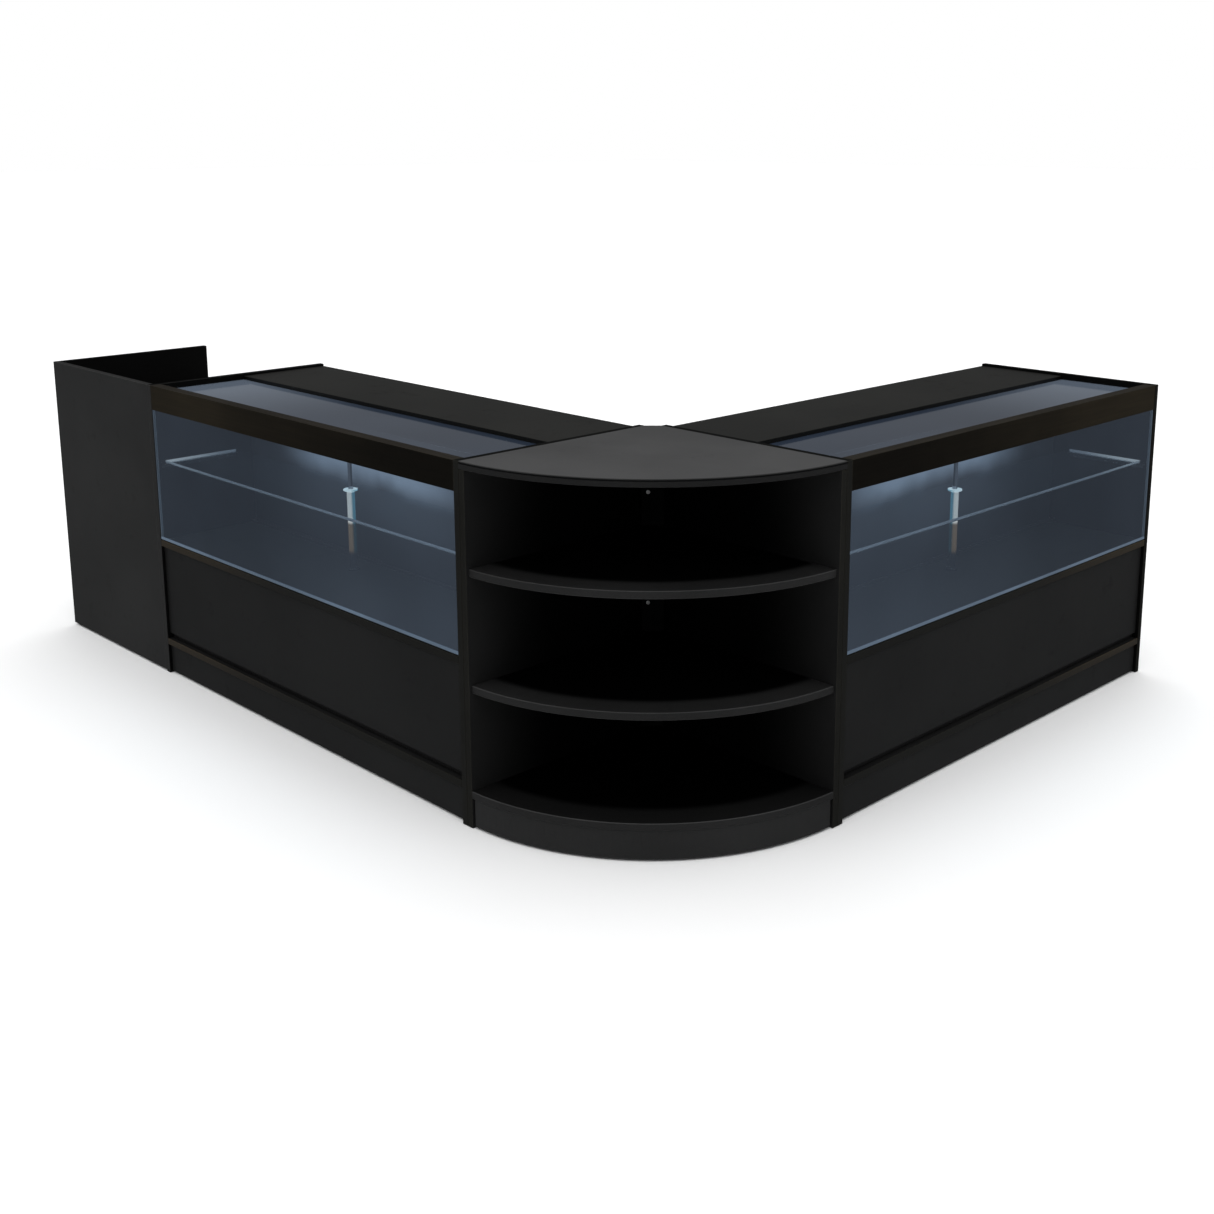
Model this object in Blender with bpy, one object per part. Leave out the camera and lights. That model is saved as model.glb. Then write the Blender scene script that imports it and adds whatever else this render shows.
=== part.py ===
"""L-shaped shop checkout counter, as a set of separate boards, panes and fittings.

Two half-glass showcase wings meet at a quarter-round corner shelf unit, and a till unit with a sunken
top stands at the far end of the left wing. The customer side is the outside of the L. Seen from there,
the left wing runs along -X with its front facing -Y, and the right wing is its mirror image, running
along +Y with its front facing +X. Units are metres, +Z is up, and the origin is the centre of the
counter's footprint on the floor.

Plan coordinates used below have their zero at the inner corner of the L. A wing's pieces are written
once in wing coordinates: s along the wing from the corner unit, d back from the front face, z up.
"""

import math

import bmesh
import bpy
from mathutils import Matrix, Vector

# Overall sizes
HEIGHT = 0.900
BOARD = 0.019
WING_LENGTH = 1.500
WING_DEPTH = 0.600
APEX_SETBACK = 0.030
TILL_WIDTH = 0.650
TILL_DEPTH = 0.540
FRONT = WING_DEPTH + APEX_SETBACK

# Clearances
GAP = 0.0003
FLOOR_GAP = 0.005
PANEL_RECESS = 0.009
EDGE_BEVEL = 0.0008

# Levels shared by the wings and the till unit
BASE_DECK_TOP = 0.112
BASE_DECK_BOTTOM = BASE_DECK_TOP - BOARD
REAR_PLINTH_INSET = 0.061

# Wing: display compartment
DECK_TOP = 0.425
DECK_BOTTOM = DECK_TOP - BOARD
GROOVE_HEIGHT = 0.016
GROOVE_DEPTH = 0.010
FASCIA_BOTTOM = 0.826
LEDGE_TOP = 0.8737
TOP_GLASS_THICKNESS = 0.008
TOP_GLASS_BACK = 0.310
FRONT_GLASS_THICKNESS = 0.006
FRONT_GLASS_FACE = 0.004
FRONT_RAIL_LIP = 0.014
FRONT_RAIL_LEDGE = 0.012
FRONT_RAIL_HEIGHT = 0.058
REAR_RAIL_FRONT = 0.285
REAR_RAIL_BACK = 0.345
REAR_RAIL_BOTTOM = 0.833
LED_WIDTH = 0.016
LED_HEIGHT = 0.008
LED_END_MARGIN = 0.020
SHELF_TOP = 0.668
SHELF_GLASS = 0.008
SHELF_FRONT = 0.030
SHELF_DEPTH = 0.236
SHELF_END_CLEARANCE = 0.0035
REST_LEG = 0.015
REST_THICKNESS = 0.002
REST_FRONT = 0.020
POST_S = 0.800
POST_D = 0.235
POST_RADIUS = 0.011
POST_PAD_RADIUS = 0.020
POST_PAD_HEIGHT = 0.004
POST_FOOT_RADIUS = 0.016
POST_ROD_RADIUS = 0.006
POST_CAP_RADIUS = 0.010
POST_CAP_HEIGHT = 0.003
POST_SEGMENTS = 24
SHELF_HOLE_RADIUS = 0.0075

# Wing: rear sliding doors and their tracks
DOOR_THICKNESS = 0.006
DOOR_PLANES = {"front": 0.316, "rear": 0.327}
DOOR_OVERLAP = 0.041
DOOR_END_CLEARANCE = 0.0005
TRACK_GROOVE = 0.007
TRACK_WALL = 0.004
TOP_TRACK_HEIGHT = 0.0115
TOP_GROOVE_DEPTH = 0.009
BOTTOM_TRACK_HEIGHT = 0.009
BOTTOM_GROOVE_DEPTH = 0.006
DOOR_TOP_LAP = 0.007
PULL_RADIUS = 0.024
PULL_DEPTH = 0.003
PULL_FROM_END = 0.070
PULL_Z = 0.630

# Wing: rear storage
DIVIDER_BACK = 0.560

# Corner unit
CORNER_SHELF_TOPS = {"upper": 0.645, "lower": 0.360}
CORNER_BOTTOM_TOP = 0.095
CORNER_SHELF_INSET = 0.008
CORNER_PLINTH_INSET = 0.004
CORNER_PLINTH_THICKNESS = 0.012
CORNER_PLINTH_END_GAP = 0.005
CORNER_POST_REACH = 0.060
CORNER_EDGE_ROUND = 0.0016
TOP_SEAM_FROM_TOP = 0.0024
TOP_SEAM_HEIGHT = 0.0032
TOP_SEAM_DEPTH = 0.0022
ARC_STEPS = 40

# Till unit
TILL_DECK_TOP = 0.760
TILL_SHELF_TOP = 0.430
TILL_SHELF_BACK = 0.440
TILL_PLINTH_INSET = 0.061

# Span of the boards between a wing's end panels
INSIDE = (BOARD + GAP, WING_LENGTH - BOARD - GAP)

# Plan coordinates of the footprint's centre
CENTRE_X = (FRONT - WING_LENGTH - TILL_WIDTH) / 2.0
CENTRE_Y = (WING_LENGTH - FRONT) / 2.0

# Finishes: base colour, roughness, metallic, alpha
FINISHES = {
    "front_laminate": ((0.026, 0.026, 0.026), 0.45, 0.0, 1.0),
    "body_laminate": ((0.016, 0.016, 0.016), 0.50, 0.0, 1.0),
    "fascia_laminate": ((0.012, 0.010, 0.008), 0.42, 0.0, 1.0),
    "top_laminate": ((0.030, 0.030, 0.027), 0.50, 0.0, 1.0),
    "corner_top_laminate": ((0.070, 0.070, 0.072), 0.50, 0.0, 1.0),
    "glass": ((0.55, 0.62, 0.66), 0.05, 0.0, 0.35),
    "door": ((0.030, 0.032, 0.036), 0.30, 0.0, 1.0),
    "track": ((0.020, 0.020, 0.021), 0.35, 0.0, 1.0),
    "led": ((0.80, 0.86, 0.95), 0.40, 0.0, 1.0),
    "post": ((0.78, 0.80, 0.82), 0.15, 1.0, 1.0),
    "shelf_rest": ((0.60, 0.61, 0.63), 0.30, 1.0, 1.0),
}


def clear_scene():
    """Remove whatever the open file holds."""
    for item in list(bpy.data.objects):
        bpy.data.objects.remove(item, do_unlink=True)


def add_material(item, finish):
    """Give one piece its own Principled material."""
    colour, roughness, metallic, alpha = FINISHES[finish]
    material = bpy.data.materials.new(item.name + "_finish")
    material.use_nodes = True
    shader = material.node_tree.nodes["Principled BSDF"]
    shader.inputs["Base Color"].default_value = (*colour, 1.0)
    shader.inputs["Roughness"].default_value = roughness
    shader.inputs["Metallic"].default_value = metallic
    shader.inputs["Alpha"].default_value = alpha
    material.diffuse_color = (*colour, alpha)
    item.data.materials.append(material)


def new_piece(name, mesh_builder, finish, origin=None, bevel=EDGE_BEVEL):
    """Make an object from a bmesh in world coordinates, with its origin moved if one is given."""
    bmesh.ops.recalc_face_normals(mesh_builder, faces=mesh_builder.faces)
    mesh = bpy.data.meshes.new(name)
    mesh_builder.to_mesh(mesh)
    mesh_builder.free()
    item = bpy.data.objects.new(name, mesh)
    bpy.context.scene.collection.objects.link(item)
    if origin is not None:
        mesh.transform(Matrix.Translation(-Vector(origin)))
        item.location = origin
    if bevel:
        rounding = item.modifiers.new("edge_rounding", "BEVEL")
        rounding.width = bevel
        rounding.segments = 1
        rounding.limit_method = "ANGLE"
        rounding.angle_limit = math.radians(40.0)
    add_material(item, finish)
    return item


def plan_to_world(x, y, z):
    """Plan coordinates, zero at the L's inner corner, to world coordinates."""
    return Vector((x - CENTRE_X, y - CENTRE_Y, z))


def wing_to_world(side, s, d, z):
    """Wing coordinates to world coordinates."""
    if side == "left":
        return plan_to_world(-s, d - FRONT, z)
    return plan_to_world(FRONT - d, s, z)


def box_mesh(corner_a, corner_b):
    """A box between two opposite corners."""
    low = Vector(map(min, corner_a, corner_b))
    high = Vector(map(max, corner_a, corner_b))
    builder = bmesh.new()
    bmesh.ops.create_cube(builder, size=1.0)
    size = high - low
    bmesh.ops.scale(builder, vec=size, verts=builder.verts)
    bmesh.ops.translate(builder, vec=(low + high) / 2.0, verts=builder.verts)
    return builder


def loft_mesh(outlines):
    """A closed solid through matching outlines, one after the other."""
    builder = bmesh.new()
    rings = [[builder.verts.new(point) for point in outline] for outline in outlines]
    builder.faces.new(rings[0])
    builder.faces.new(list(reversed(rings[-1])))
    for near, far in zip(rings, rings[1:]):
        for index in range(len(near)):
            following = (index + 1) % len(near)
            builder.faces.new((near[index], near[following], far[following], far[index]))
    return builder


def prism_mesh(first_face, second_face):
    """A prism between two matching outlines."""
    return loft_mesh([first_face, second_face])


def plan_board(name, x_range, y_range, z_range, finish):
    """A board given by its ranges in plan coordinates."""
    low = plan_to_world(x_range[0], y_range[0], z_range[0])
    high = plan_to_world(x_range[1], y_range[1], z_range[1])
    return new_piece(name, box_mesh(low, high), finish)


def wing_board(side, name, s_range, d_range, z_range, finish, origin=None):
    """A board given by its ranges in wing coordinates."""
    low = wing_to_world(side, s_range[0], d_range[0], z_range[0])
    high = wing_to_world(side, s_range[1], d_range[1], z_range[1])
    return new_piece(f"{side}_{name}", box_mesh(low, high), finish, origin)


def wing_profile(side, name, outline, s_range, finish, bevel=0.0):
    """A section in d and z, run along the wing between two values of s."""
    near = [wing_to_world(side, s_range[0], d, z) for d, z in outline]
    far = [wing_to_world(side, s_range[1], d, z) for d, z in outline]
    return new_piece(f"{side}_{name}", prism_mesh(near, far), finish, bevel=bevel)


def cut_with(item, cutter_builder, name):
    """Subtract a hidden cutter from a piece."""
    bmesh.ops.recalc_face_normals(cutter_builder, faces=cutter_builder.faces)
    mesh = bpy.data.meshes.new(name)
    cutter_builder.to_mesh(mesh)
    cutter_builder.free()
    cutter = bpy.data.objects.new(name, mesh)
    bpy.context.scene.collection.objects.link(cutter)
    cutter.hide_render = True
    cutter.display_type = "WIRE"
    cut = item.modifiers.new(name, "BOOLEAN")
    cut.operation = "DIFFERENCE"
    cut.solver = "EXACT"
    cut.object = cutter


def wing_carcass(side):
    """End panels, decks and plinths."""
    whole_depth = (0.0, WING_DEPTH)
    recessed = (PANEL_RECESS, PANEL_RECESS + BOARD)
    plinth_height = (FLOOR_GAP, BASE_DECK_BOTTOM - GAP)
    plinth_back = WING_DEPTH - REAR_PLINTH_INSET
    inner_end = (0.0, BOARD)
    outer_end = (WING_LENGTH - BOARD, WING_LENGTH)
    wing_board(side, "inner_end_panel", inner_end, whole_depth, (0.0, HEIGHT), "body_laminate")
    wing_board(side, "outer_end_panel", outer_end, whole_depth, (0.0, HEIGHT), "body_laminate")
    base_deck = (BASE_DECK_BOTTOM, BASE_DECK_TOP)
    wing_board(side, "base_deck", INSIDE, whole_depth, base_deck, "body_laminate")
    display_deck = (DECK_BOTTOM, DECK_TOP)
    wing_board(side, "display_deck", INSIDE, whole_depth, display_deck, "body_laminate")
    wing_board(side, "front_plinth", INSIDE, recessed, plinth_height, "body_laminate")
    rear_plinth = (plinth_back - BOARD, plinth_back)
    wing_board(side, "rear_plinth", INSIDE, rear_plinth, plinth_height, "body_laminate")


def wing_lower_front(side):
    """Closed lower front, grooved along its foot, and the divider of the storage bays behind it."""
    panel_front, panel_back = PANEL_RECESS, PANEL_RECESS + BOARD
    foot, groove_top = BASE_DECK_TOP + GAP, BASE_DECK_TOP + GROOVE_HEIGHT
    top = DECK_BOTTOM - GAP
    outline = [
        (panel_front, top),
        (panel_front, groove_top),
        (panel_front + GROOVE_DEPTH, groove_top),
        (panel_front + GROOVE_DEPTH, foot),
        (panel_back, foot),
        (panel_back, top),
    ]
    wing_profile(side, "lower_front_panel", outline, INSIDE, "body_laminate", bevel=EDGE_BEVEL)
    middle = WING_LENGTH / 2.0
    divider = (middle - BOARD / 2.0, middle + BOARD / 2.0)
    divider_depth = (panel_back + GAP, DIVIDER_BACK)
    wing_board(side, "storage_divider", divider, divider_depth, (foot, top), "body_laminate")


def wing_top(side):
    """Fascia, the two rails under the top, the glass top and the solid rear top."""
    wing_board(side, "fascia", INSIDE, (0.0, BOARD), (FASCIA_BOTTOM, HEIGHT), "fascia_laminate")
    lip_front = BOARD + GAP
    lip_back = lip_front + FRONT_RAIL_LIP
    ledge_back = lip_back + FRONT_RAIL_LEDGE
    rail_bottom = HEIGHT - FRONT_RAIL_HEIGHT
    front_rail = [
        (lip_front, rail_bottom),
        (ledge_back, rail_bottom),
        (ledge_back, LEDGE_TOP),
        (lip_back, LEDGE_TOP),
        (lip_back, HEIGHT),
        (lip_front, HEIGHT),
    ]
    wing_profile(side, "front_rail", front_rail, INSIDE, "fascia_laminate", bevel=EDGE_BEVEL)
    rail_depth = (REAR_RAIL_FRONT, REAR_RAIL_BACK)
    wing_board(side, "rear_rail", INSIDE, rail_depth, (REAR_RAIL_BOTTOM, LEDGE_TOP), "body_laminate")
    glass_bottom = LEDGE_TOP + GAP
    glass_depth = (lip_back + GAP, TOP_GLASS_BACK)
    glass_height = (glass_bottom, glass_bottom + TOP_GLASS_THICKNESS)
    wing_board(side, "top_glass", INSIDE, glass_depth, glass_height, "glass")
    top_depth = (TOP_GLASS_BACK + GAP, WING_DEPTH)
    top_height = (glass_bottom, glass_bottom + BOARD)
    wing_board(side, "rear_top", INSIDE, top_depth, top_height, "top_laminate")


def wing_glazing(side):
    """Front pane, light strip, and the glass shelf with its rests and its post."""
    pane_depth = (FRONT_GLASS_FACE, FRONT_GLASS_FACE + FRONT_GLASS_THICKNESS)
    pane_height = (DECK_TOP + GAP, FASCIA_BOTTOM - GAP)
    wing_board(side, "front_glass", INSIDE, pane_depth, pane_height, "glass")
    led_depth = (REAR_RAIL_FRONT, REAR_RAIL_FRONT + LED_WIDTH)
    led_height = (REAR_RAIL_BOTTOM - GAP - LED_HEIGHT, REAR_RAIL_BOTTOM - GAP)
    led_span = (BOARD + LED_END_MARGIN, WING_LENGTH - BOARD - LED_END_MARGIN)
    wing_board(side, "light_strip", led_span, led_depth, led_height, "led")
    shelf_span = (BOARD + SHELF_END_CLEARANCE, WING_LENGTH - BOARD - SHELF_END_CLEARANCE)
    shelf_depth = (SHELF_FRONT, SHELF_FRONT + SHELF_DEPTH)
    shelf_height = (SHELF_TOP - SHELF_GLASS, SHELF_TOP)
    shelf = wing_board(side, "glass_shelf", shelf_span, shelf_depth, shelf_height, "glass")
    cut_with(shelf, shelf_hole_cutter(side), f"{side}_shelf_hole")
    shelf_rest(side, "inner", BOARD + GAP, 1.0)
    shelf_rest(side, "outer", WING_LENGTH - BOARD - GAP, -1.0)
    shelf_post(side)


def shelf_rest(side, end, face, inward):
    """Aluminium angle screwed to an end panel, with its flat leg under the end of the glass shelf."""
    top = SHELF_TOP - SHELF_GLASS - GAP
    outline = [
        (face, top),
        (face + inward * REST_LEG, top),
        (face + inward * REST_LEG, top - REST_THICKNESS),
        (face + inward * REST_THICKNESS, top - REST_THICKNESS),
        (face + inward * REST_THICKNESS, top - REST_LEG),
        (face, top - REST_LEG),
    ]
    near = [wing_to_world(side, s, REST_FRONT, z) for s, z in outline]
    far = [wing_to_world(side, s, SHELF_FRONT + SHELF_DEPTH, z) for s, z in outline]
    new_piece(f"{side}_shelf_rest_{end}", prism_mesh(near, far), "shelf_rest", bevel=0.0)


def shelf_hole_cutter(side):
    """Cutter for the round hole where the post's rod passes through the glass shelf."""
    cutter = bmesh.new()
    size = {"radius1": SHELF_HOLE_RADIUS, "radius2": SHELF_HOLE_RADIUS, "depth": 3.0 * SHELF_GLASS}
    bmesh.ops.create_cone(cutter, cap_ends=True, segments=POST_SEGMENTS, **size)
    middle = SHELF_TOP - SHELF_GLASS / 2.0
    bmesh.ops.translate(cutter, vec=wing_to_world(side, POST_S, POST_D, middle), verts=cutter.verts)
    return cutter


def shelf_post(side):
    """Turned post from the display deck up to the glass top. Its pad carries the shelf, its rod goes through."""
    foot = DECK_TOP + GAP
    pad_top = SHELF_TOP - SHELF_GLASS - GAP
    top = LEDGE_TOP
    profile = [
        (0.0, foot),
        (POST_FOOT_RADIUS, foot),
        (POST_FOOT_RADIUS, foot + POST_PAD_HEIGHT),
        (POST_RADIUS, foot + 2.0 * POST_PAD_HEIGHT),
        (POST_RADIUS, pad_top - 2.0 * POST_PAD_HEIGHT),
        (POST_PAD_RADIUS, pad_top - POST_PAD_HEIGHT),
        (POST_PAD_RADIUS, pad_top),
        (POST_ROD_RADIUS, pad_top),
        (POST_ROD_RADIUS, top - 2.0 * POST_CAP_HEIGHT),
        (POST_CAP_RADIUS, top - POST_CAP_HEIGHT),
        (POST_CAP_RADIUS, top),
        (0.0, top),
    ]
    axis = wing_to_world(side, POST_S, POST_D, 0.0)
    builder = bmesh.new()
    points = [builder.verts.new(axis + Vector((radius, 0.0, z))) for radius, z in profile]
    edges = [builder.edges.new(pair) for pair in zip(points, points[1:])]
    geometry = points + edges
    turn = {"cent": axis, "axis": (0.0, 0.0, 1.0), "angle": math.tau, "steps": POST_SEGMENTS}
    bmesh.ops.spin(builder, geom=geometry, use_merge=True, **turn)
    bmesh.ops.remove_doubles(builder, verts=builder.verts, dist=0.00001)
    post = new_piece(f"{side}_shelf_post", builder, "post", bevel=0.0)
    post.data.shade_smooth()
    post.data.set_sharp_from_angle(angle=math.radians(30.0))


def track_outline(d_start, z_closed, z_open, groove_depth):
    """Section of a two-groove door track, from its closed face to its open face."""
    direction = 1.0 if z_open > z_closed else -1.0
    z_groove = z_open - direction * groove_depth
    outline = [(d_start, z_closed), (d_start, z_open)]
    d = d_start
    for _ in DOOR_PLANES:
        d += TRACK_WALL
        outline += [(d, z_open), (d, z_groove)]
        d += TRACK_GROOVE
        outline += [(d, z_groove), (d, z_open)]
    d += TRACK_WALL
    outline += [(d, z_open), (d, z_closed)]
    return outline


def wing_door_tracks(side):
    """Upper and lower plastic tracks that guide the two sliding doors."""
    d_start = DOOR_PLANES["front"] - TRACK_GROOVE / 2.0 - TRACK_WALL
    top_face = REAR_RAIL_BOTTOM - GAP
    top = track_outline(d_start, top_face, top_face - TOP_TRACK_HEIGHT, TOP_GROOVE_DEPTH)
    wing_profile(side, "door_track_top", top, INSIDE, "track")
    bottom_face = DECK_TOP + GAP
    bottom = track_outline(d_start, bottom_face, bottom_face + BOTTOM_TRACK_HEIGHT, BOTTOM_GROOVE_DEPTH)
    wing_profile(side, "door_track_bottom", bottom, INSIDE, "track")


def pull_cutter(side, s, d):
    """Disc that cuts a round finger pull into a face at depth d."""
    cutter = bmesh.new()
    size = {"radius1": PULL_RADIUS, "radius2": PULL_RADIUS, "depth": 2.0 * PULL_DEPTH}
    bmesh.ops.create_cone(cutter, cap_ends=True, segments=32, **size)
    backwards = wing_to_world(side, 0.0, 1.0, 0.0) - wing_to_world(side, 0.0, 0.0, 0.0)
    turn = Vector((0.0, 0.0, 1.0)).rotation_difference(backwards).to_matrix()
    bmesh.ops.rotate(cutter, matrix=turn, verts=cutter.verts)
    bmesh.ops.translate(cutter, vec=wing_to_world(side, s, d, PULL_Z), verts=cutter.verts)
    return cutter


def wing_doors(side):
    """Two sliding doors behind the display, each with a round finger pull in its rear face."""
    opening = (INSIDE[0] + DOOR_END_CLEARANCE, INSIDE[1] - DOOR_END_CLEARANCE)
    width = (opening[1] - opening[0] + DOOR_OVERLAP) / 2.0
    groove_floor = DECK_TOP + GAP + BOTTOM_TRACK_HEIGHT - BOTTOM_GROOVE_DEPTH
    height = (groove_floor + GAP, REAR_RAIL_BOTTOM - GAP - TOP_TRACK_HEIGHT + DOOR_TOP_LAP)
    spans = {"front": (opening[0], opening[0] + width), "rear": (opening[1] - width, opening[1])}
    pulls = {"front": opening[0] + PULL_FROM_END, "rear": opening[1] - PULL_FROM_END}
    for place, plane in DOOR_PLANES.items():
        span = spans[place]
        depth = (plane - DOOR_THICKNESS / 2.0, plane + DOOR_THICKNESS / 2.0)
        centre = wing_to_world(side, sum(span) / 2.0, plane, sum(height) / 2.0)
        door = wing_board(side, f"{place}_sliding_door", span, depth, height, "door", origin=centre)
        recess = pull_cutter(side, pulls[place], depth[1])
        cut_with(door, recess, f"{side}_{place}_pull_recess")


def corner_outline(radius, inset, apex):
    """Plan outline of a quarter-round board: its arc, then its straight sides and cut-off inner corner."""
    swing = math.asin(inset / radius)
    step = (math.pi / 2.0 - 2.0 * swing) / ARC_STEPS
    angles = [-math.pi / 2.0 + swing + index * step for index in range(ARC_STEPS + 1)]
    arc = [(radius * math.cos(angle), radius * math.sin(angle)) for angle in angles]
    return arc + [(apex, -inset), (inset, -apex)]


def rounded_edge(radius, z_range):
    """Edge profile of a quarter-round board, from below: its (radius, z) pairs, with both arrises eased."""
    low, high = z_range
    ease = CORNER_EDGE_ROUND
    return [(radius - ease, low), (radius, low + ease), (radius, high - ease), (radius - ease, high)]


def seamed_edge(radius, z_range):
    """Edge profile of the corner top: an eased edge with a fine seam groove close under the surface."""
    seam_top = z_range[1] - TOP_SEAM_FROM_TOP
    seam_bottom = seam_top - TOP_SEAM_HEIGHT
    seam_floor = radius - TOP_SEAM_DEPTH
    seam = [(radius, seam_bottom), (seam_floor, seam_bottom), (seam_floor, seam_top), (radius, seam_top)]
    profile = rounded_edge(radius, z_range)
    return profile[:2] + seam + profile[2:]


def corner_board(name, inset, apex, profile, finish):
    """A quarter-round board of the corner unit, from the profile of its curved edge."""
    rings = []
    for radius, z in profile:
        rings.append([plan_to_world(x, y, z) for x, y in corner_outline(radius, inset, apex)])
    return new_piece(name, loft_mesh(rings), finish, bevel=0.0)


def corner_unit():
    """Quarter-round open shelf unit between the two wings."""
    top_bottom = HEIGHT - BOARD
    top_edge = seamed_edge(FRONT, (top_bottom, HEIGHT))
    corner_board("corner_top", GAP, APEX_SETBACK, top_edge, "corner_top_laminate")
    side_height = (0.0, top_bottom - GAP)
    panel = (GAP, BOARD)
    reach = math.sqrt(FRONT ** 2 - BOARD ** 2)
    flipped_panel = (-panel[1], -panel[0])
    plan_board("corner_left_side_panel", panel, (-reach, -APEX_SETBACK), side_height, "body_laminate")
    plan_board("corner_right_side_panel", (APEX_SETBACK, reach), flipped_panel, side_height, "body_laminate")
    inset = BOARD + GAP
    shelf_apex = CORNER_POST_REACH + GAP
    for place, level in CORNER_SHELF_TOPS.items():
        edge = rounded_edge(FRONT - CORNER_SHELF_INSET, (level - BOARD, level))
        corner_board(f"corner_{place}_shelf", inset, shelf_apex, edge, "front_laminate")
    bottom = (CORNER_BOTTOM_TOP - BOARD, CORNER_BOTTOM_TOP)
    bottom_edge = rounded_edge(FRONT - 2.0 * GAP, bottom)
    corner_board("corner_bottom_shelf", inset, shelf_apex, bottom_edge, "front_laminate")
    corner_post(inset, top_bottom)
    corner_plinth(bottom[0])


def corner_post(inset, top):
    """Upright that closes the narrow gap between the side panels at the inner corner."""
    outline = [
        (inset, -CORNER_POST_REACH),
        (CORNER_POST_REACH, -inset),
        (APEX_SETBACK + GAP, -inset),
        (inset, -APEX_SETBACK - GAP),
    ]
    low = [plan_to_world(x, y, FLOOR_GAP) for x, y in outline]
    high = [plan_to_world(x, y, top - GAP) for x, y in outline]
    new_piece("corner_back_post", prism_mesh(low, high), "body_laminate")


def corner_plinth(top):
    """Bent plinth under the bottom shelf."""
    outer = FRONT - CORNER_PLINTH_INSET
    inner = outer - CORNER_PLINTH_THICKNESS
    swing = math.asin((BOARD + CORNER_PLINTH_END_GAP) / inner)
    step = (math.pi / 2.0 - 2.0 * swing) / ARC_STEPS
    angles = [-math.pi / 2.0 + swing + index * step for index in range(ARC_STEPS + 1)]
    outline = [(outer * math.cos(angle), outer * math.sin(angle)) for angle in angles]
    outline += [(inner * math.cos(angle), inner * math.sin(angle)) for angle in reversed(angles)]
    low = [plan_to_world(x, y, FLOOR_GAP) for x, y in outline]
    high = [plan_to_world(x, y, top - GAP) for x, y in outline]
    new_piece("corner_plinth", prism_mesh(low, high), "front_laminate")


def till_unit():
    """Till unit with a sunken deck, closed in front and at its outer end, open at the back."""
    right = -WING_LENGTH
    left = right - TILL_WIDTH
    back = TILL_DEPTH - FRONT
    behind_front = BOARD - FRONT + GAP
    front_depth = (-FRONT, BOARD - FRONT)
    plan_board("till_front_panel", (left, right - GAP), front_depth, (FLOOR_GAP, HEIGHT), "front_laminate")
    plan_board("till_end_panel", (left, left + BOARD), (behind_front, back), (0.0, HEIGHT), "body_laminate")
    inside = (left + BOARD + GAP, right - GAP)
    depth = (behind_front, back)
    deck = (TILL_DECK_TOP - BOARD, TILL_DECK_TOP)
    plan_board("till_register_deck", inside, depth, deck, "body_laminate")
    shelf_depth = (behind_front, TILL_SHELF_BACK - FRONT)
    shelf = (TILL_SHELF_TOP - BOARD, TILL_SHELF_TOP)
    plan_board("till_shelf", inside, shelf_depth, shelf, "body_laminate")
    plan_board("till_base_deck", inside, depth, (BASE_DECK_BOTTOM, BASE_DECK_TOP), "body_laminate")
    plinth_back = back - TILL_PLINTH_INSET
    plinth = (plinth_back - BOARD, plinth_back)
    plan_board("till_rear_plinth", inside, plinth, (FLOOR_GAP, BASE_DECK_BOTTOM - GAP), "body_laminate")


def build():
    """Build the whole counter."""
    clear_scene()
    for side in ("left", "right"):
        wing_carcass(side)
        wing_lower_front(side)
        wing_top(side)
        wing_glazing(side)
        wing_door_tracks(side)
        wing_doors(side)
    corner_unit()
    till_unit()


build()
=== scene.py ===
from collections import namedtuple
import math

import bmesh
import bpy
from mathutils import Matrix, Vector


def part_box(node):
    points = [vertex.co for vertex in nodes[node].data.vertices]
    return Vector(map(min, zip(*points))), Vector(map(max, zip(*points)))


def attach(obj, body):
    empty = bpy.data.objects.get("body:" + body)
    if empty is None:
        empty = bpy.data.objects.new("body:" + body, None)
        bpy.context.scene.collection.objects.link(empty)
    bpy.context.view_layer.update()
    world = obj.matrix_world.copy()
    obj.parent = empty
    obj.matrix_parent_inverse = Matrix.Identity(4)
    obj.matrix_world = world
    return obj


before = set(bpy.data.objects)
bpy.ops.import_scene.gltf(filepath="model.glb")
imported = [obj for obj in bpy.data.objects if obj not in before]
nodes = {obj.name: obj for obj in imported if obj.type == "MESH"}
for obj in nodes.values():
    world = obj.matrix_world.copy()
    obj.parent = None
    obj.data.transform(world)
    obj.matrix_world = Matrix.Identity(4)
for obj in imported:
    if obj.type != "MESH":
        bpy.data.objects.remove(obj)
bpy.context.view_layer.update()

SIDES = ("left", "right")
FIXED = "counter"
UP = Vector((0.0, 0.0, 1.0))
BLACK = (0.0, 0.0, 0.0)

# Strength of the sky for matt surfaces, and in mirrored light
SOFT_SKY = 0.26
MIRRORED_SKY = 0.16


class Wing:
    """A showcase wing's directions: s runs along it from the corner unit, d back from its front, z up."""

    def __init__(self, side):
        low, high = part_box(f"{side}_inner_end_panel")
        self.side = side
        self.start = Vector((high.x, low.y, 0.0))
        self.along = Vector((-1.0, 0.0, 0.0)) if side == "left" else Vector((0.0, 1.0, 0.0))
        self.back = Vector((0.0, 1.0, 0.0)) if side == "left" else Vector((-1.0, 0.0, 0.0))

    def point(self, s, d, z):
        """World position of a place in wing coordinates."""
        return self.start + s * self.along + d * self.back + z * UP

    def span(self, part):
        """Lowest and highest corner of one of the wing's nodes, in wing coordinates."""
        corners = [Vector(corner) - self.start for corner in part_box(f"{self.side}_{part}")]
        turned_round = [Vector((c.dot(self.along), c.dot(self.back), c.z)) for c in corners]
        low = Vector([min(c[i] for c in turned_round) for i in range(3)])
        high = Vector([max(c[i] for c in turned_round) for i in range(3)])
        return low, high


def axis_of(direction):
    """Number of the world axis that a level direction lies on."""
    return 0 if abs(direction.x) > abs(direction.y) else 1


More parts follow.
